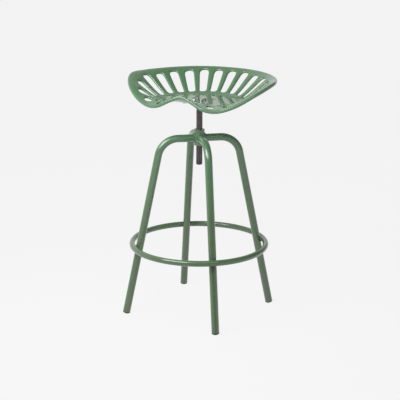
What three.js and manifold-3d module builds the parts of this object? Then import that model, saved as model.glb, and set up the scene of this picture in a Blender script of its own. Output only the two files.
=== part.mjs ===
// A height-adjustable stool with a slotted pan seat on a screw spindle.
// Millimetres, +Z up. The origin is on the floor, under the spindle.
// The four legs stand along +X, +Y, -X and -Y, and the hub, spindle and seat share the Z axis.
import * as THREE from 'three';
import { mergeVertices } from 'three/addons/utils/BufferGeometryUtils.js';
import Module from 'manifold-3d';

const wasm = await Module();
wasm.setup();

// Clearances
const seatingGap = 0.3;
const threadClearance = 0.35;
const screwClearance = 0.25;
const cutOverrun = 6;

// Frame
const legDiameter = 24;
const legWall = 1.5;
const legLean = THREE.MathUtils.degToRad(11.8);
const legReachAtFloor = 240.3;
const legTopHeight = 570;
const legBendRadius = 64;
const legFootHeight = 5.5;
const legCount = 4;

const ringDiameter = 18.3;
const ringWall = 1.5;
const ringHeight = 223.8;
const ringDrainDiameter = 5;

const hubDiameter = 34;
const hubLength = 51.5;
const hubRise = 28.5;

const plugFlange = 2;
const plugDome = 4;
const plugStem = 14;

// The dome under a foot plug: shares of the tube's radius and of the dome's depth.
const plugDomeShares = [[0, 1], [0.5, 0.78], [0.85, 0.35], [1, 0]];

// Spindle and the collar under its plate. The spindle shows between the hub and the collar, and hangs out
// of the hub below.
const spindleDiameter = 20;
const spindleShowing = 74.9;
const spindleHanging = 63;
const spindleChamfer = 2;
const collarDiameter = 32;
const collarThickness = 4;

// Seat pan
const seatHalfWidth = 246;
const seatRise = 85;
const seatSheet = 2.5;
const rimRoll = 11;
const seatRestTurn = THREE.MathUtils.degToRad(231.3);

const slotCount = 18;
const slotPitch = THREE.MathUtils.degToRad(14.4);
const slotAsideTurn = THREE.MathUtils.degToRad(100);
const slotInnerWidth = 22;
const slotOuterWidth = 28.5;
const slotInnerCorner = 8;
const slotOuterCorner = 13;

const drainSmall = 11;
const drainInner = 13;
const drainMiddle = 15;
const drainOuter = 16;
const drainLarge = 24;

// Plate and screws
const plateDiameter = 50;
const plateThickness = 8;
const screwSpacing = 24;
const screwDiameter = 6;
const screwHeadAcross = 10;
const screwHeadHeight = 4;
const washerDiameter = 12;
const washerThickness = 1.6;

// Reaches in the pan as shares of seatHalfWidth
const slotInnerShare = 0.545;
const slotInnerShareAside = 0.5935;
const drainInnerShare = 0.19;
const drainMiddleShare = 0.435;
const drainOuterShare = 0.525;

// The band between a slot and the rim, from the slot next to the middle of the back to the foremost
const slotBandShares = [0.052, 0.051, 0.065, 0.07, 0.084, 0.08, 0.122, 0.11, 0.073];

// The rim seen from above, every 15 degrees from the back of the seat to its front.
// Reach is a share of seatHalfWidth, rise a share of seatRise.
const rimReachShares = [0.86, 0.87, 0.89, 0.92, 0.94, 0.965, 0.98, 0.91, 0.785, 0.675, 0.62, 0.55, 0.52];
const rimRiseShares = [0.91, 0.91, 0.9, 0.88, 0.865, 0.855, 0.83, 0.575, 0.19, -0.01, 0.04, 0.265, 0.41];

// The pan is flat to the first share of its reach and has climbed to the rim at the second.
const wallStartShare = 0.51;
const wallEndShare = 1.06;

// Between these turns from the back a low crest fades in, which crosses the thigh hollows.
const crestRise = 8;
const crestStartShare = 0.3;
const crestFirstTurn = THREE.MathUtils.degToRad(120);
const crestFullTurn = THREE.MathUtils.degToRad(155);

// Facets
const tubeSides = 16;
const roundSides = 24;
const smallSides = 12;
const ringSegments = 56;
const ringSides = 12;
const ringBoreSides = 8;
const bendSteps = 8;
const panColumns = 60;
const panRowShares = [0.32, 0.44, 0.53, 0.6, 0.67, 0.74, 0.81, 0.88, 0.95];
const rollSteps = 7;
const slopeShare = 0.01;

const legRadius = legDiameter / 2;
const hubRadius = hubDiameter / 2;
const spindleRadius = spindleDiameter / 2;
const fullTurn = 2 * Math.PI;

// Materials
const paint = new THREE.MeshStandardMaterial({ color: 0x6c9270, roughness: 0.35, metalness: 0.1 });
const gunmetal = new THREE.MeshStandardMaterial({ color: 0x4f4b4a, roughness: 0.4, metalness: 0.9 });
const zinc = new THREE.MeshStandardMaterial({ color: 0x8e9490, roughness: 0.4, metalness: 0.9 });
const plastic = new THREE.MeshStandardMaterial({ color: 0x1f2320, roughness: 0.6, metalness: 0 });

// Solids

function toSolid(geometry) {
  const bare = geometry.clone();
  bare.deleteAttribute('normal');
  bare.deleteAttribute('uv');
  const merged = mergeVertices(bare, 1e-5);
  return new wasm.Manifold(new wasm.Mesh({
    numProp: 3,
    vertProperties: new Float32Array(merged.attributes.position.array),
    triVerts: new Uint32Array(merged.index.array),
  }));
}

function toGeometry(solid) {
  const mesh = solid.getMesh();
  const positions = new Float32Array(mesh.vertProperties);
  const geometry = new THREE.BufferGeometry();
  geometry.setAttribute('position', new THREE.BufferAttribute(positions, mesh.numProp));
  geometry.setIndex(new THREE.BufferAttribute(new Uint32Array(mesh.triVerts), 1));
  return geometry;
}

function cutAway(geometry, cutters) {
  let solid = toSolid(geometry);
  for (const cutter of cutters) {
    solid = solid.subtract(toSolid(cutter));
  }
  return toGeometry(solid);
}

// A round bar along Z from one height to another.
function bar(radius, low, high, sides) {
  const geometry = new THREE.CylinderGeometry(radius, radius, high - low, sides);
  geometry.rotateX(Math.PI / 2);
  geometry.translate(0, 0, (low + high) / 2);
  return geometry;
}

// The radius of a regular polygon's corners when its flats lie at the given radius.
function cornerRadius(flatRadius, sides) {
  return flatRadius / Math.cos(Math.PI / sides);
}

// A ring of the given outline around a hole whose facets clear the given radius.
function ringAroundHole(outerShape, holeRadius, thickness, sides) {
  const hole = new THREE.Path();
  hole.absarc(0, 0, cornerRadius(holeRadius, sides), 0, fullTurn, true);
  outerShape.holes.push(hole);
  return new THREE.ExtrudeGeometry(outerShape, {
    depth: thickness,
    bevelEnabled: false,
    curveSegments: sides / 2,
  });
}

function discShape(radius) {
  const shape = new THREE.Shape();
  shape.absarc(0, 0, radius, 0, fullTurn, false);
  return shape;
}

function hexagonShape(acrossFlats) {
  const radius = cornerRadius(acrossFlats / 2, 6);
  const corners = [];
  for (let side = 0; side < 6; side += 1) {
    const turn = (side * fullTurn) / 6;
    corners.push(new THREE.Vector2(radius * Math.cos(turn), radius * Math.sin(turn)));
  }
  return new THREE.Shape(corners);
}

// Legs

// The centre line of a leg in its own upright plane: X is the reach from the spindle.
function legReach(height) {
  return legReachAtFloor - height * Math.tan(legLean);
}

class LegPath extends THREE.Curve {
  getPoint(t) {
    const turn = Math.PI / 2 - legLean;
    const tangentLength = legBendRadius * Math.tan(turn / 2);
    const runStart = legReach(legTopHeight) - tangentLength;
    const bendCentreHeight = legTopHeight - legBendRadius;
    const station = t * (bendSteps + 2);
    const bent = THREE.MathUtils.clamp(station - 1, 0, bendSteps) / bendSteps;
    const angle = legLean + bent * turn;
    const onBend = new THREE.Vector3(
      runStart + legBendRadius * Math.cos(angle),
      0,
      bendCentreHeight + legBendRadius * Math.sin(angle),
    );
    if (station < 1) {
      const foot = new THREE.Vector3(legReach(legFootHeight), 0, legFootHeight);
      return foot.lerp(onBend, station);
    }
    if (station > bendSteps + 1) {
      const inner = new THREE.Vector3(0, 0, legTopHeight);
      return onBend.lerp(inner, station - bendSteps - 1);
    }
    return onBend;
  }

  getUtoTmapping(u) {
    return u;
  }
}

// A box with one face on the plane half way to the next leg, so that neighbours meet in a mitre.
function mitreBox(side) {
  const size = legDiameter + hubDiameter;
  const away = size / 2 - seatingGap / 2;
  const geometry = new THREE.BoxGeometry(size, size, legDiameter + cutOverrun);
  geometry.rotateZ(Math.PI / 4);
  const offset = away * Math.SQRT1_2;
  geometry.translate(-offset, side * offset, legTopHeight);
  return geometry;
}

function makeLeg() {
  const section = discShape(legRadius);
  const bore = new THREE.Path();
  bore.absarc(0, 0, legRadius - legWall, 0, fullTurn, true);
  section.holes.push(bore);
  const tube = new THREE.ExtrudeGeometry(section, {
    steps: bendSteps + 2,
    curveSegments: tubeSides / 2,
    extrudePath: new LegPath(),
  });
  const cope = bar(
    cornerRadius(hubRadius + seatingGap, roundSides),
    legTopHeight - legDiameter,
    legTopHeight + legDiameter,
    roundSides,
  );
  return cutAway(tube, [cope, mitreBox(1), mitreBox(-1)]);
}

// Feet

function makeFootPlug() {
  const stemRadius = legRadius - legWall - seatingGap;
  const dome = plugDomeShares.map(([radiusShare, depthShare]) => (
    new THREE.Vector2(legRadius * radiusShare, -plugFlange - plugDome * depthShare)
  ));
  const profile = [
    ...dome,
    new THREE.Vector2(legRadius, 0),
    new THREE.Vector2(stemRadius, 0),
    new THREE.Vector2(stemRadius, plugStem),
    new THREE.Vector2(0, plugStem),
  ];
  const turned = new THREE.LatheGeometry(profile, tubeSides);
  turned.rotateX(Math.PI / 2);
  turned.translate(0, 0, -seatingGap);
  turned.rotateY(-legLean);
  turned.translate(legReach(legFootHeight), 0, legFootHeight);
  const depth = legDiameter;
  const floor = new THREE.BoxGeometry(2 * legDiameter, 2 * legDiameter, depth);
  floor.translate(legReach(0), 0, -depth / 2);
  return cutAway(turned, [floor]);
}

// Foot ring

function makeFootRing() {
  const contact = legRadius + ringDiameter / 2 + seatingGap;
  const radius = legReach(ringHeight) + contact / Math.cos(legLean);
  const outside = new THREE.TorusGeometry(radius, ringDiameter / 2, ringSides, ringSegments);
  const inside = new THREE.TorusGeometry(radius, ringDiameter / 2 - ringWall, ringBoreSides, ringSegments);
  const drain = bar(ringDrainDiameter / 2, -ringDiameter, 0, tubeSides / 2);
  const drainTurn = Math.PI / legCount;
  drain.translate(radius * Math.cos(drainTurn), radius * Math.sin(drainTurn), 0);
  const ring = cutAway(outside, [inside, drain]);
  ring.translate(0, 0, ringHeight);
  return ring;
}

// Hub and spindle

function makeHub() {
  const tube = ringAroundHole(discShape(hubRadius), spindleRadius + threadClearance, hubLength, roundSides);
  tube.translate(0, 0, hubBottom);
  return tube;
}

const hubTop = legTopHeight + hubRise;
const hubBottom = hubTop - hubLength;
const spindleEndHeight = hubBottom - spindleHanging;
const collarBottom = hubTop + spindleShowing;
const plateBottom = collarBottom + collarThickness + seatingGap;
const plateTop = plateBottom + plateThickness;
const seatFloorHeight = plateTop + seatingGap + seatSheet;

function makeSpindle() {
  const top = plateBottom - seatingGap;
  const profile = [
    new THREE.Vector2(0, spindleEndHeight),
    new THREE.Vector2(spindleRadius - spindleChamfer, spindleEndHeight),
    new THREE.Vector2(spindleRadius, spindleEndHeight + spindleChamfer),
    new THREE.Vector2(spindleRadius, top),
    new THREE.Vector2(0, top),
  ];
  const rod = new THREE.LatheGeometry(profile, roundSides);
  rod.rotateX(Math.PI / 2);
  return rod;
}

function makeSpindleCollar() {
  const bore = spindleRadius + threadClearance;
  const collar = ringAroundHole(discShape(collarDiameter / 2), bore, collarThickness, roundSides);
  collar.translate(0, 0, collarBottom);
  return collar;
}

// Seat pan

// A smooth value between the entries of a table that runs from the back to the front of the seat.
function alongRim(shares, turn) {
  const last = shares.length - 1;
  const folded = Math.abs(Math.atan2(Math.sin(turn), Math.cos(turn)));
  const place = (folded / Math.PI) * last;
  const index = Math.min(Math.floor(place), last - 1);
  const at = (entry) => shares[entry < 0 ? -entry : entry > last ? 2 * last - entry : entry];
  const t = place - index;
  const [before, from, to, after] = [at(index - 1), at(index), at(index + 1), at(index + 2)];
  const bend = 2 * before - 5 * from + 4 * to - after;
  const twist = 3 * from - before - 3 * to + after;
  return from + (t * (to - before + t * (bend + t * twist))) / 2;
}

function rimReach(turn) {
  return seatHalfWidth * alongRim(rimReachShares, turn);
}

function rimRise(turn) {
  return seatRise * alongRim(rimRiseShares, turn);
}

// The height of the sheet over the floor of the dish, at a share of the reach to the rim.
function sheetHeight(turn, share) {
  const folded = Math.abs(Math.atan2(Math.sin(turn), Math.cos(turn)));
  const wall = THREE.MathUtils.smoothstep(share, wallStartShare, wallEndShare);
  const along = THREE.MathUtils.clamp((share - crestStartShare) / (1 - crestStartShare), 0, 1);
  const fade = THREE.MathUtils.smoothstep(folded, crestFirstTurn, crestFullTurn);
  return rimRise(turn) * wall + crestRise * fade * Math.sin(Math.PI * along) ** 2;
}

// One side of the sheet, in the upright plane at a turn: X is the reach, Y the height over the dish floor.
function sheetPoint(turn, share, side) {
  const reach = rimReach(turn);
  const rise = sheetHeight(turn, share + slopeShare) - sheetHeight(turn, share - slopeShare);
  const slope = rise / (2 * slopeShare * reach);
  const leanBack = Math.atan(slope);
  const half = (side * seatSheet) / 2;
  return new THREE.Vector2(
    reach * share - half * Math.sin(leanBack),
    sheetHeight(turn, share) + half * Math.cos(leanBack) - seatSheet / 2,
  );
}

// The closed section of the pan at a turn, from just off the axis on top, over the rolled rim, to the
// underside. The rim rolls outwards and down, so that its top is level with the sheet's.
function panSection(turn) {
  const points = panRowShares.map((share) => sheetPoint(turn, share, 1));
  const radius = rimRoll / 2;
  const closingAngle = Math.PI + Math.asin(1 - seatSheet / radius);
  for (let step = 0; step <= rollSteps; step += 1) {
    const angle = Math.PI / 2 - (step * closingAngle) / rollSteps;
    points.push(new THREE.Vector2(
      rimReach(turn) + radius * Math.cos(angle),
      rimRise(turn) - radius + radius * Math.sin(angle),
    ));
  }
  const under = panRowShares.map((share) => sheetPoint(turn, share, -1));
  return points.concat(under.reverse());
}

function makePanShell() {
  const positions = [0, 0, seatFloorHeight, 0, 0, seatFloorHeight - seatSheet];
  const index = [];
  let rows = 0;
  for (let column = 0; column < panColumns; column += 1) {
    const turn = (column * fullTurn) / panColumns;
    const section = panSection(turn);
    rows = section.length;
    for (const point of section) {
      positions.push(-point.x * Math.cos(turn), point.x * Math.sin(turn), seatFloorHeight + point.y);
    }
  }
  const at = (column, row) => 2 + (column % panColumns) * rows + row;
  for (let column = 0; column < panColumns; column += 1) {
    index.push(0, at(column + 1, 0), at(column, 0));
    index.push(1, at(column, rows - 1), at(column + 1, rows - 1));
    for (let row = 0; row < rows - 1; row += 1) {
      index.push(at(column, row), at(column + 1, row), at(column, row + 1));
      index.push(at(column + 1, row), at(column + 1, row + 1), at(column, row + 1));
    }
  }
  const geometry = new THREE.BufferGeometry();
  geometry.setAttribute('position', new THREE.Float32BufferAttribute(positions, 3));
  geometry.setIndex(index);
  return geometry;
}

// A slot seen from above, along +X from the spindle, wider at the rim than at the dish.
function slotShape(innerReach, outerReach) {
  const inner = slotInnerWidth / 2;
  const outer = slotOuterWidth / 2;
  const shape = new THREE.Shape();
  shape.moveTo(innerReach, slotInnerCorner - inner);
  shape.quadraticCurveTo(innerReach, -inner, innerReach + slotInnerCorner, -inner);
  shape.lineTo(outerReach - slotOuterCorner, -outer);
  shape.quadraticCurveTo(outerReach, -outer, outerReach, slotOuterCorner - outer);
  shape.lineTo(outerReach, outer - slotOuterCorner);
  shape.quadraticCurveTo(outerReach, outer, outerReach - slotOuterCorner, outer);
  shape.lineTo(innerReach + slotInnerCorner, inner);
  shape.quadraticCurveTo(innerReach, inner, innerReach, inner - slotInnerCorner);
  return shape;
}

function slotCutters() {
  const cutters = [];
  for (let slot = 0; slot < slotCount; slot += 1) {
    const turn = (slot - (slotCount - 1) / 2) * slotPitch;
    const aside = THREE.MathUtils.smoothstep(Math.abs(turn), 0, slotAsideTurn);
    const innerReach = seatHalfWidth * THREE.MathUtils.lerp(slotInnerShare, slotInnerShareAside, aside);
    const band = seatHalfWidth * slotBandShares[Math.floor(Math.abs(turn) / slotPitch)];
    const prism = new THREE.ExtrudeGeometry(slotShape(innerReach, rimReach(turn) - band), {
      depth: seatRise + 2 * cutOverrun,
      bevelEnabled: false,
      curveSegments: 3,
    });
    prism.translate(0, 0, seatFloorHeight - seatSheet - cutOverrun);
    prism.rotateZ(Math.PI - turn);
    cutters.push(prism);
  }
  return cutters;
}

// Drain holes: one at the back and pairs on both sides of the seat. Turns are in degrees from the back.
const drains = [
  { turn: 0, sides: [1], reachShare: drainMiddleShare, diameter: drainSmall },
  { turn: 18, sides: [1, -1], reachShare: drainMiddleShare, diameter: drainSmall },
  { turn: 33, sides: [1, -1], reachShare: drainMiddleShare, diameter: drainSmall },
  { turn: 42, sides: [1, -1], reachShare: drainInnerShare, diameter: drainInner },
  { turn: 135, sides: [1, -1], reachShare: drainInnerShare, diameter: drainInner },
  { turn: 106, sides: [1, -1], reachShare: drainMiddleShare, diameter: drainMiddle },
  { turn: 123, sides: [1, -1], reachShare: drainOuterShare, diameter: drainOuter },
  { turn: 139, sides: [1, -1], reachShare: drainOuterShare, diameter: drainLarge },
];

function drainCutters() {
  const cutters = [];
  for (const drain of drains) {
    for (const side of drain.sides) {
      const turn = Math.PI - side * THREE.MathUtils.degToRad(drain.turn);
      const hole = bar(
        drain.diameter / 2,
        seatFloorHeight - seatSheet - cutOverrun,
        seatFloorHeight + crestRise + cutOverrun,
        tubeSides,
      );
      const reach = seatHalfWidth * drain.reachShare;
      hole.translate(reach * Math.cos(turn), reach * Math.sin(turn), 0);
      cutters.push(hole);
    }
  }
  return cutters;
}

const screwPlaces = [[1, 1], [-1, 1], [-1, -1], [1, -1]].map(
  ([x, y]) => new THREE.Vector2((x * screwSpacing) / 2, (y * screwSpacing) / 2),
);

function screwHoles(low, high) {
  const radius = cornerRadius(screwDiameter / 2 + screwClearance, smallSides);
  return screwPlaces.map((place) => {
    const hole = bar(radius, low - cutOverrun, high + cutOverrun, smallSides);
    hole.translate(place.x, place.y, 0);
    return hole;
  });
}

function makeSeatPan() {
  const floorHoles = screwHoles(seatFloorHeight - seatSheet, seatFloorHeight);
  return cutAway(makePanShell(), [...slotCutters(), ...drainCutters(), ...floorHoles]);
}

function makeSeatPlate() {
  const disc = bar(plateDiameter / 2, plateBottom, plateTop, 2 * roundSides);
  return cutAway(disc, screwHoles(plateBottom, plateTop));
}

// Screws and washers, each along Z at the origin of its own place

const washerBottom = seatFloorHeight + seatingGap;
const headBottom = washerBottom + washerThickness + seatingGap;

function makeScrew() {
  const head = new THREE.ExtrudeGeometry(hexagonShape(screwHeadAcross), {
    depth: screwHeadHeight,
    bevelEnabled: false,
  });
  head.translate(0, 0, headBottom);
  const shank = bar(screwDiameter / 2, plateBottom, headBottom + screwHeadHeight / 2, smallSides);
  return toGeometry(toSolid(head).add(toSolid(shank)));
}

function makeWasher() {
  const bore = screwDiameter / 2 + screwClearance;
  const washer = ringAroundHole(discShape(washerDiameter / 2), bore, washerThickness, smallSides);
  washer.translate(0, 0, washerBottom);
  return washer;
}

// Assembly

const stool = new THREE.Group();

function place(parent, name, geometry, material) {
  const mesh = new THREE.Mesh(geometry, material);
  mesh.name = name;
  parent.add(mesh);
  return mesh;
}

place(stool, 'hub', makeHub(), paint);
place(stool, 'foot_ring', makeFootRing(), paint);

['right', 'back', 'left', 'front'].forEach((side, index) => {
  const turn = (index * fullTurn) / legCount;
  place(stool, `leg_${side}`, makeLeg(), paint).rotation.z = turn;
  place(stool, `foot_plug_${side}`, makeFootPlug(), plastic).rotation.z = turn;
});

const seat = new THREE.Group();
seat.rotation.z = seatRestTurn;
stool.add(seat);

place(seat, 'spindle', makeSpindle(), gunmetal);
place(seat, 'spindle_collar', makeSpindleCollar(), gunmetal);
place(seat, 'seat_plate', makeSeatPlate(), gunmetal);
place(seat, 'seat_pan', makeSeatPan(), paint);

screwPlaces.forEach((spot, index) => {
  place(seat, `seat_screw_${index + 1}`, makeScrew(), zinc).position.set(spot.x, spot.y, 0);
  place(seat, `seat_washer_${index + 1}`, makeWasher(), zinc).position.set(spot.x, spot.y, 0);
});

export default stool;
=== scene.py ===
import math

import bpy
import numpy as np
from mathutils import Matrix, Vector
from mathutils.geometry import delaunay_2d_cdt


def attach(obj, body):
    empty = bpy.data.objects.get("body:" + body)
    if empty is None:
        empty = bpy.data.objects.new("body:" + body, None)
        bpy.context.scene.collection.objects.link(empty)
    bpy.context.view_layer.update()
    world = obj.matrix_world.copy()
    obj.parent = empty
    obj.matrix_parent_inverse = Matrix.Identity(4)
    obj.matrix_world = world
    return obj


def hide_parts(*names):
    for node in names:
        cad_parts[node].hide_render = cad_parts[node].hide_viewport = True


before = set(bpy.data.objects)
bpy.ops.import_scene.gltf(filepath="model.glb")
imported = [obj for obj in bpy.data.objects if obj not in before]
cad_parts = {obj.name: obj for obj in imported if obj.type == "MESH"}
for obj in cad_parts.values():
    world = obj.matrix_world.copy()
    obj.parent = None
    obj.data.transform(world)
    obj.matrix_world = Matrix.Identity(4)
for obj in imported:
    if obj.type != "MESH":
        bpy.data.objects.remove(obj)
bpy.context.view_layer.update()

# A stool with a slotted pan seat on a screw spindle. The sizes are those of the CAD part, in millimetres,
# and MM turns them into metres.
MM = 0.001

LEG_RADIUS = 12
LEG_WALL = 1.5
LEG_LEAN = math.radians(11.8)
# Reaches are measured from the hub's axis. A leg's centre line would meet the floor at LEG_REACH_AT_FLOOR.
# It runs level at LEG_TOP after its bend. Its tube goes from the height LEG_FOOT to the reach LEG_END.
LEG_REACH_AT_FLOOR = 240.3
LEG_TOP = 570
LEG_BEND = 64
LEG_FOOT = 5.5
LEG_END = 11.3
LEG_SIDES = 48

PLUG_FLANGE = 2
PLUG_DOME = 4
PLUG_STEM = 14
# Reach of a point on the dome, and its share of the dome's height below the flange
PLUG_DOME_LINE = [(0, 1), (2.6, 0.97), (5.75, 0.8), (8.2, 0.52), (10, 0.24), (11, 0.06)]

RING_HEIGHT = 223.8
RING_TUBE = 9.15
RING_WALL = 1.5
RING_DRAIN = 2.5
RING_ROWS, RING_SIDES = 180, 36

HUB_RADIUS = 17
HUB_TOP, HUB_BOTTOM = 598.5, 547
HUB_BORE = 10.35

SPINDLE_RADIUS = 10
SPINDLE_END = 484
SPINDLE_CHAMFER = 2
THREAD_PITCH = 2.5
THREAD_ROOT = 8.7
# One turn of the thread: its place as a share of the pitch, and its radius
THREAD_FORM = [(-0.18, THREAD_ROOT), (0.18, THREAD_ROOT), (0.32, SPINDLE_RADIUS), (0.68, SPINDLE_RADIUS)]
THREAD_SIDES = 40

COLLAR_RADIUS = 16
COLLAR_THICKNESS = 4
PLATE_RADIUS = 25
PLATE_THICKNESS = 8
# Pieces that touch stand GAP apart, and the collar's bore clears the spindle by more
GAP = 0.3
COLLAR_CLEARANCE = 0.35

# Weld beads: how far their middle stands off the hub and off the leg, and their radius
HUB_BEAD_OFF, LEG_BEAD_OFF = 0.7, 0.9
HUB_BEAD, RING_BEAD = 2.5, 2.3
# A bead between leg and ring is an oval
RING_BEAD_ACROSS, RING_BEAD_ALONG = 6.2, 5.4

SEAT_FLOOR = 688.5
SEAT_HALF_WIDTH = 246
SEAT_RISE = 85
SHEET = 2.5
RIM_ROLL = 11
SEAT_TURN = math.radians(231.3)
# The plate hangs under the pan
PLATE_LOW = SEAT_FLOOR - SHEET - GAP - PLATE_THICKNESS

SLOTS = 18
SLOT_PITCH = math.radians(14.4)
SLOT_INNER, SLOT_INNER_ASIDE = 0.545 * SEAT_HALF_WIDTH, 0.5935 * SEAT_HALF_WIDTH
# The plain band between slot and rim as a share of the half width, from the middle of the back to the front
SLOT_BAND = [0.052, 0.051, 0.065, 0.07, 0.084, 0.08, 0.122, 0.11, 0.073]
SLOT_ASIDE_TURN = math.radians(100)
SLOT_WIDTH_INNER, SLOT_WIDTH_OUTER = 22, 28.5
SLOT_CORNER_INNER, SLOT_CORNER_OUTER = 8, 13
# A margin round each opening is pressed down: the radius of its bend, and the straight part after it
SLOT_BEND, SLOT_FLANGE = 3.0, 2.0
DRAIN_BEND, DRAIN_FLANGE = 1.6, 2.0

# The rim's reach and rise as shares of the half width and SEAT_RISE, from the back to the front
RIM_REACH = [0.86, 0.87, 0.89, 0.92, 0.94, 0.965, 0.98, 0.91, 0.785, 0.675, 0.62, 0.55, 0.52]
RIM_RISE = [0.91, 0.91, 0.9, 0.88, 0.865, 0.855, 0.83, 0.575, 0.19, -0.01, 0.04, 0.265, 0.41]
# Where the dish's wall starts and ends, as shares of the rim's reach
WALL_START, WALL_END = 0.51, 1.06
# How far the rolled rim stands past its reach, and the bends from the sheet up to it and down its outside
ROLL = RIM_ROLL / 2 - SHEET / 2
LIP_BEND, CURL_BEND = 3.4, 2.4
# The crest between the thigh hollows
CREST_RISE = 8
CREST_START = 0.3
CREST_FIRST, CREST_FULL = math.radians(120), math.radians(155)

RIM_POINTS = 300
DRAIN_POINTS, SCREW_HOLE_POINTS = 28, 20
# The pattern of points that fills the sheet between its edges
FILL_STEP, FILL_SPAN, FILL_CLEAR = 6.0, 260, 3.0

SCREW_SPACING = 24
SCREW_RADIUS = 3
SCREW_HOLE = 3.25
SCREW_ACROSS = 10
SCREW_HEAD = 4
WASHER_RADIUS = 6
WASHER_THICKNESS = 1.6
SCREW_CORNERS = [(1, 1), (-1, 1), (-1, -1), (1, -1)]

# Turn from the back in degrees, reach and diameter. All but the first stand on both sides of the seat.
DRAINS = [(0, 107, 11), (18, 107, 11), (33, 107, 11), (42, 46.7, 13), (135, 46.7, 13)]
DRAINS += [(106, 107, 15), (123, 129.2, 16), (139, 129.2, 24)]


# Materials

def linear(red, green, blue):
    """An sRGB colour of 0 to 255 as the linear colour that a socket takes."""
    out = []
    for value in (red, green, blue):
        share = value / 255
        out.append(share / 12.92 if share <= 0.04045 else ((share + 0.055) / 1.055) ** 2.4)
    return (*out, 1.0)


# Most of a noise lies between these two values
NOISE_LOW, NOISE_HIGH = 0.3, 0.7


class Tree:
    """The node tree of a material or world, emptied, with short calls."""

    def __init__(self, owner):
        owner.use_nodes = True
        self.tree = owner.node_tree
        self.tree.nodes.clear()

    def add(self, kind, **settings):
        node = self.tree.nodes.new(kind)
        for key, value in settings.items():
            setattr(node, key, value)
        return node

    def link(self, source, target):
        self.tree.links.new(source, target)


class Nodes(Tree):
    """A new material with one Principled shader."""

    def __init__(self, name):
        self.material = bpy.data.materials.new(name)
        super().__init__(self.material)
        self.output = self.add("ShaderNodeOutputMaterial")
        self.shader = self.add("ShaderNodeBsdfPrincipled")
        self.link(self.shader.outputs[0], self.output.inputs[0])
        self.place = self.add("ShaderNodeTexCoord").outputs["Object"]

    def noise(self, scale, detail=2.0, roughness=0.5):
        """A noise of so many waves per metre."""
        node = self.add("ShaderNodeTexNoise")
        node.inputs["Scale"].default_value = scale
        node.inputs["Detail"].default_value = detail
        node.inputs["Roughness"].default_value = roughness
        self.link(self.place, node.inputs["Vector"])
        return node.outputs["Fac"]

    def blend(self, factor, low, high, start=NOISE_LOW, end=NOISE_HIGH):
        """A colour from low to high as the factor goes from start to end."""
        ramp = self.add("ShaderNodeValToRGB")
        ramp.color_ramp.elements[0].position = start
        ramp.color_ramp.elements[0].color = low
        ramp.color_ramp.elements[1].position = end
        ramp.color_ramp.elements[1].color = high
        self.link(factor, ramp.inputs[0])
        return ramp.outputs[0]

    def span(self, factor, low, high):
        """A value from low to high over the usual spread of a noise."""
        node = self.add("ShaderNodeMapRange")
        node.inputs["From Min"].default_value = NOISE_LOW
        node.inputs["From Max"].default_value = NOISE_HIGH
        node.inputs["To Min"].default_value = low
        node.inputs["To Max"].default_value = high
        self.link(factor, node.inputs["Value"])
        return node.outputs[0]

    def height_share(self, start, end):
        """0 at the height start and 1 at the height end, in metres."""
        separate = self.add("ShaderNodeSeparateXYZ")
        self.link(self.place, separate.inputs[0])
        node = self.add("ShaderNodeMapRange")
        node.inputs["From Min"].default_value = start
        node.inputs["From Max"].default_value = end
        self.link(separate.outputs["Z"], node.inputs["Value"])
        return node.outputs[0]

    def bump(self, height, strength, distance, under=None):
        """Relief from a height, over the relief under it."""
        node = self.add("ShaderNodeBump")
        node.inputs["Strength"].default_value = strength
        node.inputs["Distance"].default_value = distance
        self.link(height, node.inputs["Height"])
        if under:
            self.link(under, node.inputs["Normal"])
        return node.outputs[0]

    def gloss_coat(self, roughness, relief):
        """A clear gloss layer, with the same relief as what lies under it."""
        self.shader.inputs["Coat Weight"].default_value = 1
        self.shader.inputs["Coat Roughness"].default_value = roughness
        self.shader.inputs["Coat IOR"].default_value = 1.55
        self.link(relief, self.shader.inputs["Normal"])
        self.link(relief, self.shader.inputs["Coat Normal"])


def paint_material(name, waves):
    """Gloss paint on steel: a faint orange peel, slow waves in the metal and small colour drift.

    The green is more olive and darker low on the legs and on the foot ring: painted warm bounce light from
    the floor.
    """
    n = Nodes(name)
    drift = n.noise(11, 3, 0.55)
    upper = n.blend(drift, linear(78, 118, 81), linear(86, 127, 89))
    # Painted light: this warmer, darker green, blended in towards the floor, stands in for warm light bounced
    # up from the floor.
    lower = n.blend(drift, linear(80, 110, 73), linear(88, 118, 80))
    mix = n.add("ShaderNodeMix", data_type="RGBA")
    n.link(n.height_share(0.52, 0.34), mix.inputs["Factor"])
    n.link(upper, mix.inputs["A"])
    n.link(lower, mix.inputs["B"])
    n.link(mix.outputs["Result"], n.shader.inputs["Base Color"])
    n.link(n.span(n.noise(55, 3, 0.6), 0.3, 0.4), n.shader.inputs["Roughness"])
    n.shader.inputs["Metallic"].default_value = 0
    peel = n.bump(n.noise(520, 2, 0.5), 0.05, 0.0002)
    n.gloss_coat(0.03, n.bump(n.noise(38, 2, 0.5), waves, 0.0012, peel))
    return n.material


def weld_material():
    """The same paint over a weld bead, a little thicker and rounder."""
    n = Nodes("green_weld_paint")
    colour = n.blend(n.noise(160, 3), linear(77, 117, 80), linear(88, 128, 90))
    n.link(colour, n.shader.inputs["Base Color"])
    n.link(n.span(n.noise(300, 2), 0.26, 0.36), n.shader.inputs["Roughness"])
    n.gloss_coat(0.05, n.bump(n.noise(420, 3, 0.6), 0.2, 0.0004))
    return n.material


def steel_material():
    """Dark phosphated steel with a trace of oil, for the spindle, its collar and the plate."""
    n = Nodes("dark_steel")
    colour = n.blend(n.noise(70, 4, 0.6), linear(90, 83, 83), linear(116, 106, 106))
    n.link(colour, n.shader.inputs["Base Color"])
    n.shader.inputs["Metallic"].default_value = 0.85
    n.link(n.span(n.noise(240, 3, 0.6), 0.2, 0.32), n.shader.inputs["Roughness"])
    n.link(n.bump(n.noise(900, 2, 0.6), 0.2, 0.0002), n.shader.inputs["Normal"])
    return n.material


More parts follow.
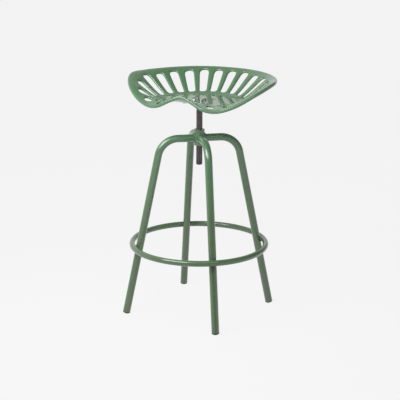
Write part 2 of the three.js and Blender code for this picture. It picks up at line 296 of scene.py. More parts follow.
def zinc_material():
    """Bright zinc plate on the screws and washers, with a fine grain."""
    n = Nodes("zinc")
    colour = n.blend(n.noise(400, 3, 0.6), linear(186, 190, 186), linear(206, 209, 203))
    n.link(colour, n.shader.inputs["Base Color"])
    n.shader.inputs["Metallic"].default_value = 1
    n.link(n.span(n.noise(700, 3, 0.6), 0.22, 0.38), n.shader.inputs["Roughness"])
    n.link(n.bump(n.noise(1600, 2, 0.6), 0.2, 0.0001), n.shader.inputs["Normal"])
    return n.material


def plastic_material():
    """Dark moulded plastic with a fine grain, scuffed lighter near the floor."""
    n = Nodes("plug_plastic")
    scuff = n.add("ShaderNodeMath", operation="MULTIPLY")
    n.link(n.height_share(0.004, 0), scuff.inputs[0])
    n.link(n.noise(600, 4, 0.7), scuff.inputs[1])
    colour = n.blend(scuff.outputs[0], linear(30, 33, 31), linear(58, 60, 56), 0.35, 0.8)
    n.link(colour, n.shader.inputs["Base Color"])
    n.link(n.span(n.noise(900, 2), 0.45, 0.6), n.shader.inputs["Roughness"])
    n.link(n.bump(n.noise(2600, 2, 0.6), 0.35, 0.0002), n.shader.inputs["Normal"])
    return n.material


PAINT = paint_material("green_paint", 0.1)
PAN_PAINT = paint_material("green_pan_paint", 0.25)
WELD = weld_material()
STEEL = steel_material()
ZINC = zinc_material()
PLASTIC = plastic_material()


# Meshes

def piece(name, verts, faces, material, body, replaced=(), turn=0.0, sharp=35.0):
    """An object from points in millimetres, turned about the spindle, that rides on a body.

    Edges that bend by more than sharp, in degrees, stay sharp in its smooth shading.
    """
    points = np.asarray(verts, float) * MM
    if turn:
        c, s = math.cos(turn), math.sin(turn)
        points = points @ np.array([[c, -s, 0], [s, c, 0], [0, 0, 1]]).T
    mesh = bpy.data.meshes.new(name)
    mesh.from_pydata(points.tolist(), [], [list(map(int, f)) for f in faces])
    mesh.validate()
    mesh.materials.append(material)
    mesh.shade_smooth()
    mesh.set_sharp_from_angle(angle=math.radians(sharp))
    obj = bpy.data.objects.new(name, mesh)
    bpy.context.scene.collection.objects.link(obj)
    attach(obj, body)
    if replaced:
        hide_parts(*replaced)
    return obj


def grid_faces(rows, columns, close_rows=False, start=0):
    """Quads over rows of points that are numbered row by row. Each row closes on itself."""
    faces = []
    for i in range(rows if close_rows else rows - 1):
        for j in range(columns):
            a = start + i * columns + j
            b = start + i * columns + (j + 1) % columns
            c = start + ((i + 1) % rows) * columns + (j + 1) % columns
            d = start + ((i + 1) % rows) * columns + j
            faces.append((a, b, c, d))
    return faces


def steps_round(count):
    """The angles of a full turn in even steps."""
    return [2 * math.pi * k / count for k in range(count)]


def with_poles(verts, faces, sides, first, last):
    """A grid of rings, closed by a point inside its first ring and one inside its last."""
    top, low, high = len(verts) - sides, len(verts), len(verts) + 1
    fans = [(low, (k + 1) % sides, k) for k in range(sides)]
    fans += [(top + k, top + (k + 1) % sides, high) for k in range(sides)]
    return verts + [first, last], faces + fans


def lathe(profile, sides=48, centre=(0, 0), closed=True):
    """A profile of (radius, height), turned about an upright axis.

    A closed profile makes a ring. An open one starts and ends on the axis.
    """
    verts = []
    rings = profile if closed else profile[1:-1]
    for radius, height in rings:
        for a in steps_round(sides):
            verts.append((centre[0] + radius * math.cos(a), centre[1] + radius * math.sin(a), height))
    faces = grid_faces(len(rings), sides, close_rows=closed)
    if closed:
        return verts, faces
    return with_poles(verts, faces, sides, (*centre, profile[0][1]), (*centre, profile[-1][1]))


def tube_profile(inner, outer, low, high):
    """The cut through a ring with square corners, as (radius, height)."""
    return [(inner, low), (outer, low), (outer, high), (inner, high)]


def rounded(points, radius, steps=3):
    """A closed profile with each corner rounded."""
    out = []
    count = len(points)
    for i in range(count):
        p, q, r = (np.array(points[(i + k) % count], float) for k in (-1, 0, 1))
        to_p, to_r = (p - q), (r - q)
        length_p, length_r = np.linalg.norm(to_p), np.linalg.norm(to_r)
        cut = min(radius, 0.45 * length_p, 0.45 * length_r)
        a, b = q + to_p / length_p * cut, q + to_r / length_r * cut
        for k in range(steps + 1):
            t = k / steps
            out.append(tuple((1 - t) ** 2 * a + 2 * t * (1 - t) * q + t * t * b))
    return out


# Legs, feet and foot ring

def leg_reach(height):
    """How far a leg's centre line is from the hub's axis at a height of its straight part."""
    return LEG_REACH_AT_FLOOR - height * math.tan(LEG_LEAN)


def leg_line(steps=30):
    """A leg's centre line from foot to hub, as (reach, height, angle of its cut to the level)."""
    turn = math.pi / 2 - LEG_LEAN
    run = leg_reach(LEG_TOP) - LEG_BEND * math.tan(turn / 2)
    stations = [(leg_reach(LEG_FOOT), LEG_FOOT, LEG_LEAN)]
    for k in range(steps + 1):
        a = LEG_LEAN + turn * k / steps
        stations.append((run + LEG_BEND * math.cos(a), LEG_TOP - LEG_BEND + LEG_BEND * math.sin(a), a))
    stations.append((LEG_END, LEG_TOP, math.pi / 2))
    return stations


def make_leg(side, turn):
    """A bent tube with its wall, open at both ends."""
    verts = []
    for radius in (LEG_RADIUS, LEG_RADIUS - LEG_WALL):
        for reach, height, a in leg_line():
            for w in steps_round(LEG_SIDES):
                out = radius * math.cos(w)
                verts.append((reach + out * math.cos(a), radius * math.sin(w), height + out * math.sin(a)))
    rows = len(leg_line())
    faces = grid_faces(rows, LEG_SIDES)
    faces += [f[::-1] for f in grid_faces(rows, LEG_SIDES, start=rows * LEG_SIDES)]
    for row, flip in ((0, True), (rows - 1, False)):
        for k in range(LEG_SIDES):
            a, b = row * LEG_SIDES + k, row * LEG_SIDES + (k + 1) % LEG_SIDES
            c, d = rows * LEG_SIDES + b, rows * LEG_SIDES + a
            faces.append((a, d, c, b) if flip else (a, b, c, d))
    piece("Leg_" + side, verts, faces, PAINT, "base", ["leg_" + side], turn)


def make_plug(side, turn):
    """A foot with a domed end, a flange and a stem in the leg, cut flat where it stands on the floor."""
    stem = LEG_RADIUS - LEG_WALL - GAP
    profile = [(reach, -PLUG_FLANGE - PLUG_DOME * share) for reach, share in PLUG_DOME_LINE]
    profile += [(11.4, -PLUG_FLANGE + 0.3), (LEG_RADIUS, -PLUG_FLANGE + 0.8)]
    profile += [(LEG_RADIUS, -0.25), (LEG_RADIUS - 0.25, 0)]
    profile += [(stem, 0), (stem, PLUG_STEM - 1), (stem - 1, PLUG_STEM), (0, PLUG_STEM)]
    verts, faces = lathe(profile, closed=False)
    c, s = math.cos(LEG_LEAN), math.sin(LEG_LEAN)
    out = []
    for x, y, z in verts:
        z -= GAP
        px, pz = leg_reach(LEG_FOOT) + c * x - s * z, LEG_FOOT + s * x + c * z
        out.append((px, y, max(pz, 0.0)))
    piece("Foot_plug_" + side, out, faces, PLASTIC, "base", ["foot_plug_" + side], turn, 50)


def ring_radius():
    """The reach of the ring's centre line, where its tube stands against the outside of the legs."""
    return leg_reach(RING_HEIGHT) + (LEG_RADIUS + RING_TUBE + GAP) / math.cos(LEG_LEAN)


def cut_out(obj, verts, faces):
    """Takes a form in millimetres out of an object's mesh."""
    mesh = bpy.data.meshes.new("cutter")
    mesh.from_pydata((np.array(verts) * MM).tolist(), [], faces)
    cutter = bpy.data.objects.new("cutter", mesh)
    bpy.context.scene.collection.objects.link(cutter)
    cut = obj.modifiers.new("cut", "BOOLEAN")
    cut.operation = "DIFFERENCE"
    cut.solver = "EXACT"
    cut.object = cutter
    bpy.context.view_layer.update()
    done = bpy.data.meshes.new_from_object(obj.evaluated_get(bpy.context.evaluated_depsgraph_get()))
    obj.modifiers.clear()
    obj.data = done
    bpy.data.objects.remove(cutter)
    done.shade_smooth()
    done.set_sharp_from_angle(angle=math.radians(40))


def make_ring():
    """The foot ring's tube with its wall, and a drain hole underneath, between two legs."""
    verts, faces = [], []
    for shell, radius in enumerate((RING_TUBE, RING_TUBE - RING_WALL)):
        for a in steps_round(RING_ROWS):
            for w in steps_round(RING_SIDES):
                reach = ring_radius() + radius * math.cos(w)
                verts.append((reach * math.cos(a), reach * math.sin(a), RING_HEIGHT + radius * math.sin(w)))
        part = grid_faces(RING_ROWS, RING_SIDES, close_rows=True, start=shell * RING_ROWS * RING_SIDES)
        faces += [f[::-1] for f in part] if shell == 0 else part
    ring = piece("Foot_ring", verts, faces, PAINT, "base", ["foot_ring"])
    a = math.pi / 4
    spot = (ring_radius() * math.cos(a), ring_radius() * math.sin(a))
    below = RING_HEIGHT - 12
    profile = [(0, below), (RING_DRAIN, below), (RING_DRAIN, RING_HEIGHT), (0, RING_HEIGHT)]
    cut_out(ring, *lathe(profile, 24, spot, closed=False))


def bead(name, line, outward, radius, turn, ripple=0.12, waves=30, sides=12):
    """A weld bead along a closed line. outward gives a direction across the line at each point."""
    line = np.array(line, float)
    count = len(line)
    verts = []
    for i, a in enumerate(steps_round(count)):
        t = line[(i + 1) % count] - line[i - 1]
        t /= np.linalg.norm(t)
        n = np.array(outward[i], float)
        n -= t * n.dot(t)
        n /= np.linalg.norm(n)
        b = np.cross(t, n)
        size = radius * (1 + ripple * math.sin(waves * a) + 0.06 * math.sin(5.3 * a + turn))
        for w in steps_round(sides):
            verts.append(line[i] + size * (math.cos(w) * n + math.sin(w) * b))
    faces = [f[::-1] for f in grid_faces(count, sides, close_rows=True)]
    piece(name, verts, faces, WELD, "base", (), turn, 80)


def make_leg_welds(side, turn):
    """The bead round a leg at the hub, and the one between the leg and the ring."""
    line, outward = [], []
    for a in steps_round(120):
        y, z = (LEG_RADIUS + LEG_BEAD_OFF) * math.cos(a), (LEG_RADIUS + LEG_BEAD_OFF) * math.sin(a)
        line.append((math.sqrt((HUB_RADIUS + HUB_BEAD_OFF) ** 2 - y * y), y, LEG_TOP + z))
        outward.append((0, math.cos(a), math.sin(a)))
    bead("Hub_weld_" + side, line, outward, HUB_BEAD, turn)
    c, s = math.cos(LEG_LEAN), math.sin(LEG_LEAN)
    normal, along = np.array((c, 0, s)), np.array((-s, 0, c))
    across = np.array((0, 1, 0))
    centre = np.array((ring_radius(), 0, RING_HEIGHT)) - normal * (RING_TUBE + GAP / 2)
    outward = [math.cos(a) * across * RING_BEAD_ACROSS + math.sin(a) * along * RING_BEAD_ALONG
               for a in steps_round(72)]
    bead("Ring_weld_" + side, [centre + out for out in outward], outward, RING_BEAD, turn, 0.08, 12)


for index, side in enumerate(["right", "back", "left", "front"]):
    quarter = index * math.pi / 2
    make_leg(side, quarter)
    make_plug(side, quarter)
    make_leg_welds(side, quarter)
make_ring()


# Hub, spindle, collar and plate

def make_hub():
    """The upright tube that the legs are welded to."""
    corners = tube_profile(HUB_BORE, HUB_RADIUS, HUB_BOTTOM, HUB_TOP)
    verts, faces = lathe(rounded(corners, 0.9), 72)
    piece("Hub", verts, faces, PAINT, "base", ["hub"], sharp=50)


def make_spindle():
    """The thread is one winding surface: root, flank, crest and flank, turn after turn.

    It starts below the rod's end and ends above its top, and both are pressed flat, with a chamfer.
    """
    ends = [(SPINDLE_END, SPINDLE_RADIUS - SPINDLE_CHAMFER), (PLATE_LOW - GAP, THREAD_ROOT)]
    (bottom, bottom_radius), (top, top_radius) = ends
    rows = int((top - bottom) / THREAD_PITCH + 3) * THREAD_SIDES
    verts = []
    for i in range(rows):
        a = 2 * math.pi * i / THREAD_SIDES
        base = bottom - THREAD_PITCH + THREAD_PITCH * i / THREAD_SIDES
        for offset, radius in THREAD_FORM:
            z = min(max(base + offset * THREAD_PITCH, bottom), top)
            r = min(radius, bottom_radius + z - bottom, top_radius + top - z)
            verts.append((r * math.cos(a), r * math.sin(a), z))
    count = len(THREAD_FORM)
    faces = []
    for i in range(rows - 1):
        for k in range(count - 1):
            a = i * count + k
            faces.append((a, a + count, a + count + 1, a + 1))
        if i + 1 + THREAD_SIDES < rows:
            a, b = i * count + count - 1, (i + THREAD_SIDES) * count
            faces.append((a, a + count, b + count, b))
    # What the pressing made flat is left out, and a cap closes each end.
    heights = np.array(verts)[:, 2]
    faces = [f for f in faces if np.ptp(heights[list(f)]) > 1e-6]
    start = len(verts)
    for z, radius in ends:
        verts += [(radius * math.cos(w), radius * math.sin(w), z) for w in steps_round(THREAD_SIDES)]
    faces.append(tuple(range(start + THREAD_SIDES - 1, start - 1, -1)))
    faces.append(tuple(range(start + THREAD_SIDES, start + 2 * THREAD_SIDES)))
    piece("Spindle", verts, faces, STEEL, "seat", ["spindle"], SEAT_TURN, 25)


def make_collar_and_plate():
    """The loose ring round the spindle, and the plate over it that carries the pan."""
    collar_top = PLATE_LOW - GAP
    bore = SPINDLE_RADIUS + COLLAR_CLEARANCE
    corners = tube_profile(bore, COLLAR_RADIUS, collar_top - COLLAR_THICKNESS, collar_top)
    verts, faces = lathe(rounded(corners, 0.6), 64)
    piece("Spindle_collar", verts, faces, STEEL, "lift", ["spindle_collar"], sharp=50)
    corners = tube_profile(0.5, PLATE_RADIUS, PLATE_LOW, PLATE_LOW + PLATE_THICKNESS)
    verts, faces = lathe(rounded(corners, 0.8), 72)
    piece("Pan_plate", verts, faces, STEEL, "seat", ["seat_plate"], sharp=50)


def make_screw(number, x, y):
    """A hexagon screw with a chamfered and dished head, and the washer under it."""
    washer_low = SEAT_FLOOR + GAP
    washer_top = washer_low + WASHER_THICKNESS
    corners = tube_profile(SCREW_HOLE, WASHER_RADIUS, washer_low, washer_top)
    verts, faces = lathe(rounded(corners, 0.35), 40, (x, y))
    piece(f"Pan_washer_{number}", verts, faces, ZINC, "seat", [f"seat_washer_{number}"], SEAT_TURN, 50)

    head_low = washer_top + GAP
    head_top = head_low + SCREW_HEAD
    dish = head_top - 0.25
    sides, flat = 72, SCREW_ACROSS / 2
    chamfer = flat * 0.96
    turn = math.radians(17 * number)
    verts = []

    def ring(radius_at, height_at):
        for a in steps_round(sides):
            r = radius_at(a)
            verts.append((x + r * math.cos(a + turn), y + r * math.sin(a + turn), height_at(r)))

    def hexagon(a):
        return flat / math.cos((a + math.pi / 6) % (math.pi / 3) - math.pi / 6)

    ring(lambda a: SCREW_RADIUS, lambda r: PLATE_LOW)
    ring(lambda a: SCREW_RADIUS, lambda r: head_low)
    ring(hexagon, lambda r: head_low)
    ring(hexagon, lambda r: head_top - (r - chamfer) * math.tan(math.radians(30)))
    ring(lambda a: chamfer, lambda r: head_top)
    ring(lambda a: flat * 0.8, lambda r: head_top)
    ring(lambda a: hexagon(a) * 0.5, lambda r: dish)
    faces = grid_faces(len(verts) // sides, sides)
    verts, faces = with_poles(verts, faces, sides, (x, y, PLATE_LOW), (x, y, dish))
    piece(f"Pan_screw_{number}", verts, faces, ZINC, "seat", [f"seat_screw_{number}"], SEAT_TURN, 25)


make_hub()
make_spindle()
make_collar_and_plate()
for number, (sx, sy) in enumerate(SCREW_CORNERS, 1):
    make_screw(number, sx * SCREW_SPACING / 2, sy * SCREW_SPACING / 2)


# Seat pan. Turns are counted from the back of the seat, which faces -X before the seat is turned.

def folded(turn):
    """How far a turn is from the back, on either side."""
    return np.abs(np.arctan2(np.sin(turn), np.cos(turn)))


def along_rim(shares, turn):
    """A smooth line through shares that are given evenly from the back to the front, alike on both sides."""
    shares = np.asarray(shares, float)
    last = len(shares) - 1
    place = folded(turn) / np.pi * last
    index = np.minimum(np.floor(place).astype(int), last - 1)
    t = place - index

    def at(entry):
        entry = np.where(entry < 0, -entry, entry)
        return shares[np.where(entry > last, 2 * last - entry, entry)]

    p, q, r, s = at(index - 1), at(index), at(index + 1), at(index + 2)
    return q + t * (r - p + t * (2 * p - 5 * q + 4 * r - s + t * (3 * q - p - 3 * r + s))) / 2


def smooth(value, low, high):
    """0 at low and 1 at high, with an easy start and end."""
    t = np.clip((value - low) / (high - low), 0, 1)
    return t * t * (3 - 2 * t)


def rim_reach(turn):
    """The reach of the seat's outline, which the rolled rim passes by ROLL."""
    return SEAT_HALF_WIDTH * along_rim(RIM_REACH, turn)


def sheet_height(turn, share):
    """The dish's height over its floor, at a share of the rim's reach: its wall, and the crest in front."""
    wall = smooth(share, WALL_START, WALL_END)
    along = np.clip((share - CREST_START) / (1 - CREST_START), 0, 1)
    fade = smooth(folded(turn), CREST_FIRST, CREST_FULL)
    return SEAT_RISE * along_rim(RIM_RISE, turn) * wall + CREST_RISE * fade * np.sin(np.pi * along) ** 2


def rim_edge(turn):
    """Where the sheet runs into the rolled rim: its lean, reach, and the sheet's step up to the rim's top."""
    full = rim_reach(turn)
    slope = (sheet_height(turn, 0.99) - sheet_height(turn, 0.98)) / (0.01 * full)
    lean = np.arctan(slope)
    edge = full + ROLL - LIP_BEND - LIP_BEND * np.sin(lean)
    top = SEAT_RISE * along_rim(RIM_RISE, turn) - SHEET / 2 - LIP_BEND + LIP_BEND * np.cos(lean)
    return lean, edge, top - (sheet_height(turn, edge / full) - SHEET / 2)


def middle(x, y):
    """The height of the middle of the sheet over a place of the seat."""
    turn = np.arctan2(y, -x)
    _, edge, step = rim_edge(turn)
    reach = np.hypot(x, y)
    blend = step * smooth(reach / edge, 0.8, 1.0)
    return SEAT_FLOOR - SHEET / 2 + sheet_height(turn, reach / rim_reach(turn)) + blend


def sheet_normal(x, y):
    """The sheet's unit normals, from its height half a millimetre to each side."""
    e = 0.5
    dx = (middle(x + e, y) - middle(x - e, y)) / (2 * e)
    dy = (middle(x, y + e) - middle(x, y - e)) / (2 * e)
    normal = np.stack([-dx, -dy, np.ones_like(dx)], 1)
    return normal / np.linalg.norm(normal, axis=1)[:, None]


def inside(points, polygon):
    """Which points lie in a polygon, seen from above."""
    x, y = points[:, 0], points[:, 1]
    hit = np.zeros(len(points), bool)
    for (ax, ay), (bx, by) in zip(polygon, np.roll(polygon, -1, axis=0)):
        crossing = (ay > y) != (by > y)
        with np.errstate(divide="ignore", invalid="ignore"):
            hit ^= crossing & (x < (bx - ax) * (y - ay) / (by - ay) + ax)
    return hit


def slot_outline(inner_reach, outer_reach):
    """A slot that widens outwards, with rounded corners, anticlockwise about the line of +X."""
    wi, wo = SLOT_WIDTH_INNER / 2, SLOT_WIDTH_OUTER / 2
    ci, co = SLOT_CORNER_INNER, SLOT_CORNER_OUTER
    points = []

    def straight(a, b):
        steps = max(2, int(math.dist(a, b) / 5))
        for k in range(steps):
            points.append(tuple(a[i] + (b[i] - a[i]) * k / steps for i in (0, 1)))

    def corner(a, q, b):
        for k in range(7):
            t = k / 7
            points.append(tuple((1 - t) ** 2 * a[i] + 2 * t * (1 - t) * q[i] + t * t * b[i] for i in (0, 1)))

    corner((inner_reach, ci - wi), (inner_reach, -wi), (inner_reach + ci, -wi))
    straight((inner_reach + ci, -wi), (outer_reach - co, -wo))
    corner((outer_reach - co, -wo), (outer_reach, -wo), (outer_reach, co - wo))
    straight((outer_reach, co - wo), (outer_reach, wo - co))
    corner((outer_reach, wo - co), (outer_reach, wo), (outer_reach - co, wo))
    straight((outer_reach - co, wo), (inner_reach + ci, wi))
    corner((inner_reach + ci, wi), (inner_reach, wi), (inner_reach, wi - ci))
    straight((inner_reach, wi - ci), (inner_reach, ci - wi))
    return np.array(points)


def grown(outline, distance):
    """An anticlockwise outline moved outwards."""
    ahead = np.roll(outline, -1, axis=0) - outline
    ahead /= np.linalg.norm(ahead, axis=1)[:, None]
    normal = np.stack([ahead[:, 1], -ahead[:, 0]], 1)
    both = normal + np.roll(normal, 1, axis=0)
    both /= np.linalg.norm(both, axis=1)[:, None] ** 2 / 2
    return outline + both * distance


def turned(points, turn):
    """Points of the plan, turned anticlockwise about the middle of the seat."""
    c, s = math.cos(turn), math.sin(turn)
    return points @ np.array([[c, s], [-s, c]])


def circle(count):
    """Points of a circle with a radius of 1."""
    spokes = np.arange(count) * 2 * np.pi / count
    return np.stack([np.cos(spokes), np.sin(spokes)], 1)


def bent_down(bend, degrees):
    """A margin's bend from upright to level, as (distance from its upright end, drop below the sheet)."""
    return [(bend * (1 - math.sin(b)), bend * (1 - math.cos(b))) for b in np.radians(degrees)]


def slot_loops():
    """Each slot's opening, and the loops of the bend round it with their drops."""
    margin = bent_down(SLOT_BEND, [90, 66, 44, 22, 0])
    for number in range(SLOTS):
        turn = (number - (SLOTS - 1) / 2) * SLOT_PITCH
        aside = float(smooth(abs(turn), 0, SLOT_ASIDE_TURN))
        inner = SLOT_INNER + (SLOT_INNER_ASIDE - SLOT_INNER) * aside
        band = SLOT_BAND[int(abs(turn) / SLOT_PITCH)]
        outer = float(rim_reach(np.array([turn]))[0]) - SEAT_HALF_WIDTH * band
        outline = slot_outline(inner, outer)
        loops = [(turned(grown(outline, SHEET / 2 + off), math.pi - turn), drop) for off, drop in margin]
        yield turned(grown(outline, SHEET / 2), math.pi - turn), loops


def drain_loops():
    """The same for each drain hole."""
    margin = bent_down(DRAIN_BEND, [90, 50, 0])
    for degrees, reach, size in DRAINS:
        for side in (1, -1) if degrees else (1,):
            a = math.pi - side * math.radians(degrees)
            centre = np.array([reach * math.cos(a), reach * math.sin(a)])
            radius = size / 2 + SHEET / 2
            loops = [(centre + circle(DRAIN_POINTS) * (radius + off), drop) for off, drop in margin]
            yield centre + circle(DRAIN_POINTS) * radius, loops


def screw_hole_loops():
    """The same for each screw hole, which has no bend round it."""
    for corner in SCREW_CORNERS:
        hole = np.array(corner) * SCREW_SPACING / 2 + SCREW_HOLE * circle(SCREW_HOLE_POINTS)
        yield hole, [(hole, 0.0)]


def fill_points(rim, flat, openings):
    """Points on a triangular pattern over the sheet, clear of every loop and opening."""
    rows = np.arange(-FILL_SPAN, FILL_SPAN + 1, FILL_STEP * math.sqrt(3) / 2)
    along = np.arange(-FILL_SPAN, FILL_SPAN + 1, FILL_STEP)
    filler = np.array([(x + (i % 2) * FILL_STEP / 2, y) for i, y in enumerate(rows) for x in along])
    filler = filler[inside(filler, rim)]
    for opening in openings:
        low, high = opening.min(0) - 7, opening.max(0) + 7
        near = ((filler > low) & (filler < high)).all(1)
        centre = opening.mean(0)
        bigger = centre + (opening - centre) * (1 + 0.5 / np.linalg.norm(opening - centre, axis=1))[:, None]
        near[near] = inside(filler[near], bigger)
        filler = filler[~near]
    keep = np.ones(len(filler), bool)
    # In parts, since every point is measured against every loop point
    for part in np.array_split(np.arange(len(filler)), 12):
        gap = np.sqrt(((filler[part, None, :] - flat[None, :, :]) ** 2).sum(2)).min(1)
        keep[part] = gap > FILL_CLEAR
    return filler[keep]


def facing_up(place, face):
    """A face with its corners anticlockwise, seen from above."""
    a, b, c = place[face[0]], place[face[1]], place[face[2]]
    area = (b[0] - a[0]) * (c[1] - a[1]) - (b[1] - a[1]) * (c[0] - a[0])
    return face if area > 0 else face[::-1]


def flat_sheet(rim, loops, openings):
    """The sheet seen from above: its points, their drops, its faces, and where each loop point went."""
    flat = np.vstack([loop for loop, _ in loops])
    edges, start = [], 0
    for loop, _ in loops:
        edges += [(start + k, start + (k + 1) % len(loop)) for k in range(len(loop))]
        start += len(loop)
    filler = fill_points(rim, flat, openings)
    drop = np.concatenate([*(np.full(len(loop), d) for loop, d in loops), np.zeros(len(filler))])
    points = [Vector(p) for p in np.vstack([flat, filler])]
    result = delaunay_2d_cdt(points, edges, [], 0, 1e-5, True)
    place, faces, origin = np.array([tuple(v) for v in result[0]]), result[2], result[3]
    depth = np.array([max((drop[i] for i in ids), default=0.0) for ids in origin])
    where = {i: k for k, ids in enumerate(origin) for i in ids}
    centres = np.array([place[list(f)].mean(0) for f in faces])
    good = inside(centres, rim)
    for opening in openings:
        good &= ~inside(centres, opening)
    return place, depth, [facing_up(place, tuple(f)) for f, ok in zip(faces, good) if ok], where


def border(faces):
    """The edges that have a face on one side only."""
    used = dict.fromkeys((f[k], f[(k + 1) % len(f)]) for f in faces for k in range(len(f)))
    return [(a, b) for a, b in used if (b, a) not in used]


def add_flanges(solid, faces, normal, depth):
    """Adds the straight end of each bend round an opening. Returns the points with the new ones."""
    extra, ends = [], {}
    edges = border(faces)
    for pair in edges:
        for v in pair:
            if depth[v] > DRAIN_BEND - 0.01 and v not in ends:
                straight = SLOT_FLANGE if depth[v] > SLOT_BEND - 0.01 else DRAIN_FLANGE
                ends[v] = len(solid) + len(extra)
                extra.append(solid[v] - normal[v] * straight)
    faces += [(b, a, ends[a], ends[b]) for a, b in edges if a in ends and b in ends]
    return np.vstack([solid, extra])


def roll_rim(solid, faces, row, turns, lean):
    """Rolls the edge outwards and down from a row of points. Returns the points with the new ones."""
    full = rim_reach(turns)
    rim_top = SEAT_FLOOR + SEAT_RISE * along_rim(RIM_RISE, turns)
    # Each new row: the angle round its bend, the bend's radius, and its centre's depth below the rim's top
    line = [((math.pi / 2 + lean) * (1 - k / 7), LIP_BEND, LIP_BEND + SHEET / 2) for k in range(1, 8)]
    line += [(-math.pi / 2 * k / 5, CURL_BEND, RIM_ROLL - SHEET / 2 - CURL_BEND) for k in range(6)]
    for angle, bend, depth in line:
        reach = full + ROLL - bend + bend * np.cos(angle)
        height = rim_top - depth + bend * np.sin(angle)
        lower = range(len(solid), len(solid) + len(turns))
        solid = np.vstack([solid, np.column_stack([-reach * np.cos(turns), reach * np.sin(turns), height])])
        for k in range(len(turns)):
            j = (k + 1) % len(turns)
            faces.append((row[k], row[j], lower[j], lower[k]))
        row = lower
    return solid


def thickened(solid, faces):
    """Both sides of a middle surface, joined along its edges."""
    across = np.zeros_like(solid)
    for f in faces:
        a, b, c = solid[f[0]], solid[f[1]], solid[f[2]]
        cross = np.cross(b - a, c - a)
        if len(f) == 4:
            cross = cross + np.cross(c - a, solid[f[3]] - a)
        for v in f:
            across[v] += cross
    across /= np.maximum(np.linalg.norm(across, axis=1), 1e-9)[:, None]
    count = len(solid)
    verts = np.vstack([solid + across * SHEET / 2, solid - across * SHEET / 2])
    walls = [(b, a, a + count, b + count) for a, b in border(faces)]
    under = [tuple(v + count for v in reversed(f)) for f in faces]
    return verts, faces + under + walls


def make_pan():
    """The pressed sheet: laid out flat, lifted to the dish's shape, rolled at its rim and thickened."""
    turns = np.arange(RIM_POINTS) * 2 * np.pi / RIM_POINTS
    lean, edge, _ = rim_edge(turns)
    rim = np.stack([-edge * np.cos(turns), edge * np.sin(turns)], 1)
    loops, openings = [(rim, 0.0)], []
    for opening, loops_round_it in (*slot_loops(), *drain_loops(), *screw_hole_loops()):
        openings.append(opening)
        loops += loops_round_it
    place, depth, faces, where = flat_sheet(rim, loops, openings)
    x, y = place[:, 0], place[:, 1]
    normal = sheet_normal(x, y)
    solid = np.column_stack([x, y, middle(x, y)]) - normal * depth[:, None]
    solid = add_flanges(solid, faces, normal, depth)
    solid = roll_rim(solid, faces, [where[k] for k in range(RIM_POINTS)], turns, lean)
    verts, faces = thickened(solid, faces)
    piece("Pan", verts, faces, PAN_PAINT, "seat", ["seat_pan"], SEAT_TURN, 50)


make_pan()


# Floor, light and camera

# The photograph looks at the frame along a direction 12.55 degrees off +Y. Sides and places here are given in
# directions that are turned with it: right, away and up, in metres from a point on the floor below the hub.
VIEW_TURN = Matrix.Rotation(math.radians(-12.55), 4, "Z")

FLOOR_HALF_SIZE = 40
FLOOR_GREY = 0.55
FLOOR_SEEN = linear(252, 252, 252)
FLOOR_SEEN_SHARE = 0.9
BACKDROP_SEEN = linear(246, 246, 246)

# A side of the world: how far a direction must face it for the first and last level, and the two levels
BRIGHT_SIDE, BRIGHT_SPAN, BRIGHT_LEVELS = (-0.8, 1.0, -0.3), (-0.3, 0.8), (0.16, 0.88)
WALL_SIDE, WALL_SPAN, WALL_LEVELS = (0.9, -0.45, 0.0), (0.72, 0.96), (0, 0.5)

# Name, place, aim, size in metres and power in watts
SOFT_BOXES = [
    ("key", (-0.66, -0.65, 1.31), (0, 0, 0.55), (0.86, 0.66), 14.5),
    ("fill", (0.1, -1.05, 1.42), (0, 0, 0.65), (1.2, 0.8), 4.2),
]

CAMERA_PLACE, CAMERA_AIM = (0, -3.3539, 1.2846), (0, 0, 0.3647)
CAMERA_ROLL = math.radians(0.22)
CAMERA_SENSOR, CAMERA_LENS = 36, 97.776
CAMERA_SHIFT = (0.0023, 0.00125)


def make_floor():
    """A grey floor that keeps the stool's shadow, seen by the camera and in reflections with a pale glow."""
    n = Nodes("floor")
    n.tree.nodes.remove(n.shader)
    diffuse = n.add("ShaderNodeBsdfDiffuse")
    diffuse.inputs["Color"].default_value = (FLOOR_GREY, FLOOR_GREY, FLOOR_GREY, 1)
    glow = n.add("ShaderNodeEmission")
    glow.inputs["Color"].default_value = FLOOR_SEEN
    glow.inputs["Strength"].default_value = 1
    path = n.add("ShaderNodeLightPath")
    seen = n.add("ShaderNodeMath", operation="MAXIMUM")
    n.link(path.outputs["Is Camera Ray"], seen.inputs[0])
    n.link(path.outputs["Is Glossy Ray"], seen.inputs[1])
    share = n.add("ShaderNodeMath", operation="MULTIPLY")
    share.inputs[1].default_value = FLOOR_SEEN_SHARE
    n.link(seen.outputs[0], share.inputs[0])
    mix = n.add("ShaderNodeMixShader")
    n.link(share.outputs[0], mix.inputs[0])
    n.link(diffuse.outputs[0], mix.inputs[1])
    n.link(glow.outputs[0], mix.inputs[2])
    n.link(mix.outputs[0], n.output.inputs[0])
    mesh = bpy.data.meshes.new("Floor")
    corners = [(x * FLOOR_HALF_SIZE, y * FLOOR_HALF_SIZE, 0) for x, y in ((-1, -1), (1, -1), (1, 1), (-1, 1))]
    mesh.from_pydata(corners, [], [(0, 1, 2, 3)])
    mesh.materials.append(n.material)
    floor = bpy.data.objects.new("Floor", mesh)
    bpy.context.scene.collection.objects.link(floor)


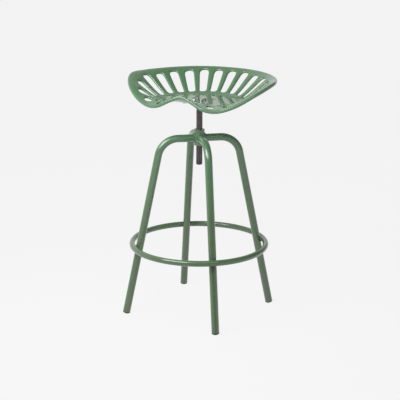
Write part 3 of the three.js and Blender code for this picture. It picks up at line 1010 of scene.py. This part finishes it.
def make_world():
    """A studio: bright behind the stool on the left, with a paler wall at the right, and dim elsewhere."""
    world = bpy.data.worlds.new("studio")
    bpy.context.scene.world = world
    n = Tree(world)
    around = n.add("ShaderNodeTexCoord").outputs["Generated"]

    def facing(side, span, levels):
        toward = n.add("ShaderNodeVectorMath", operation="DOT_PRODUCT")
        toward.inputs[1].default_value = VIEW_TURN @ Vector(side).normalized()
        n.link(around, toward.inputs[0])
        ramp = n.add("ShaderNodeMapRange", interpolation_type="SMOOTHSTEP")
        ramp.inputs["From Min"].default_value, ramp.inputs["From Max"].default_value = span
        ramp.inputs["To Min"].default_value, ramp.inputs["To Max"].default_value = levels
        n.link(toward.outputs["Value"], ramp.inputs["Value"])
        return ramp.outputs[0]

    light = n.add("ShaderNodeBackground")
    both = n.add("ShaderNodeMath", operation="ADD")
    n.link(facing(BRIGHT_SIDE, BRIGHT_SPAN, BRIGHT_LEVELS), both.inputs[0])
    n.link(facing(WALL_SIDE, WALL_SPAN, WALL_LEVELS), both.inputs[1])
    n.link(both.outputs[0], light.inputs["Strength"])
    # The camera sees an even backdrop instead.
    seen = n.add("ShaderNodeBackground")
    seen.inputs["Color"].default_value = BACKDROP_SEEN
    mix = n.add("ShaderNodeMixShader")
    n.link(n.add("ShaderNodeLightPath").outputs["Is Camera Ray"], mix.inputs[0])
    n.link(light.outputs[0], mix.inputs[1])
    n.link(seen.outputs[0], mix.inputs[2])
    n.link(mix.outputs[0], n.add("ShaderNodeOutputWorld").inputs[0])


def looking(place, aim):
    """Where a lamp or camera stands and how it is turned, to look from a place at another."""
    here = VIEW_TURN @ Vector(place)
    return Matrix.Translation(here) @ (Vector(aim) - here).to_track_quat("-Z", "Y").to_matrix().to_4x4()


def make_soft_box(name, place, aim, size, power):
    """A flat rectangular lamp that the camera doesn't see."""
    data = bpy.data.lights.new(name, "AREA")
    data.shape = "RECTANGLE"
    data.size, data.size_y = size
    data.energy = power
    lamp = bpy.data.objects.new(name, data)
    lamp.matrix_world = looking(place, aim)
    lamp.visible_camera = False
    bpy.context.scene.collection.objects.link(lamp)


def make_camera():
    """The photograph's camera, solved from the legs, hub, ring and spindle."""
    data = bpy.data.cameras.new("Camera")
    data.sensor_width, data.lens = CAMERA_SENSOR, CAMERA_LENS
    data.shift_x, data.shift_y = CAMERA_SHIFT
    camera = bpy.data.objects.new("Camera", data)
    camera.matrix_world = looking(CAMERA_PLACE, CAMERA_AIM) @ Matrix.Rotation(CAMERA_ROLL, 4, "Z")
    bpy.context.scene.collection.objects.link(camera)
    bpy.context.scene.camera = camera


make_floor()
make_world()
for box in SOFT_BOXES:
    make_soft_box(*box)
make_camera()
bpy.context.scene.view_settings.view_transform = "Standard"
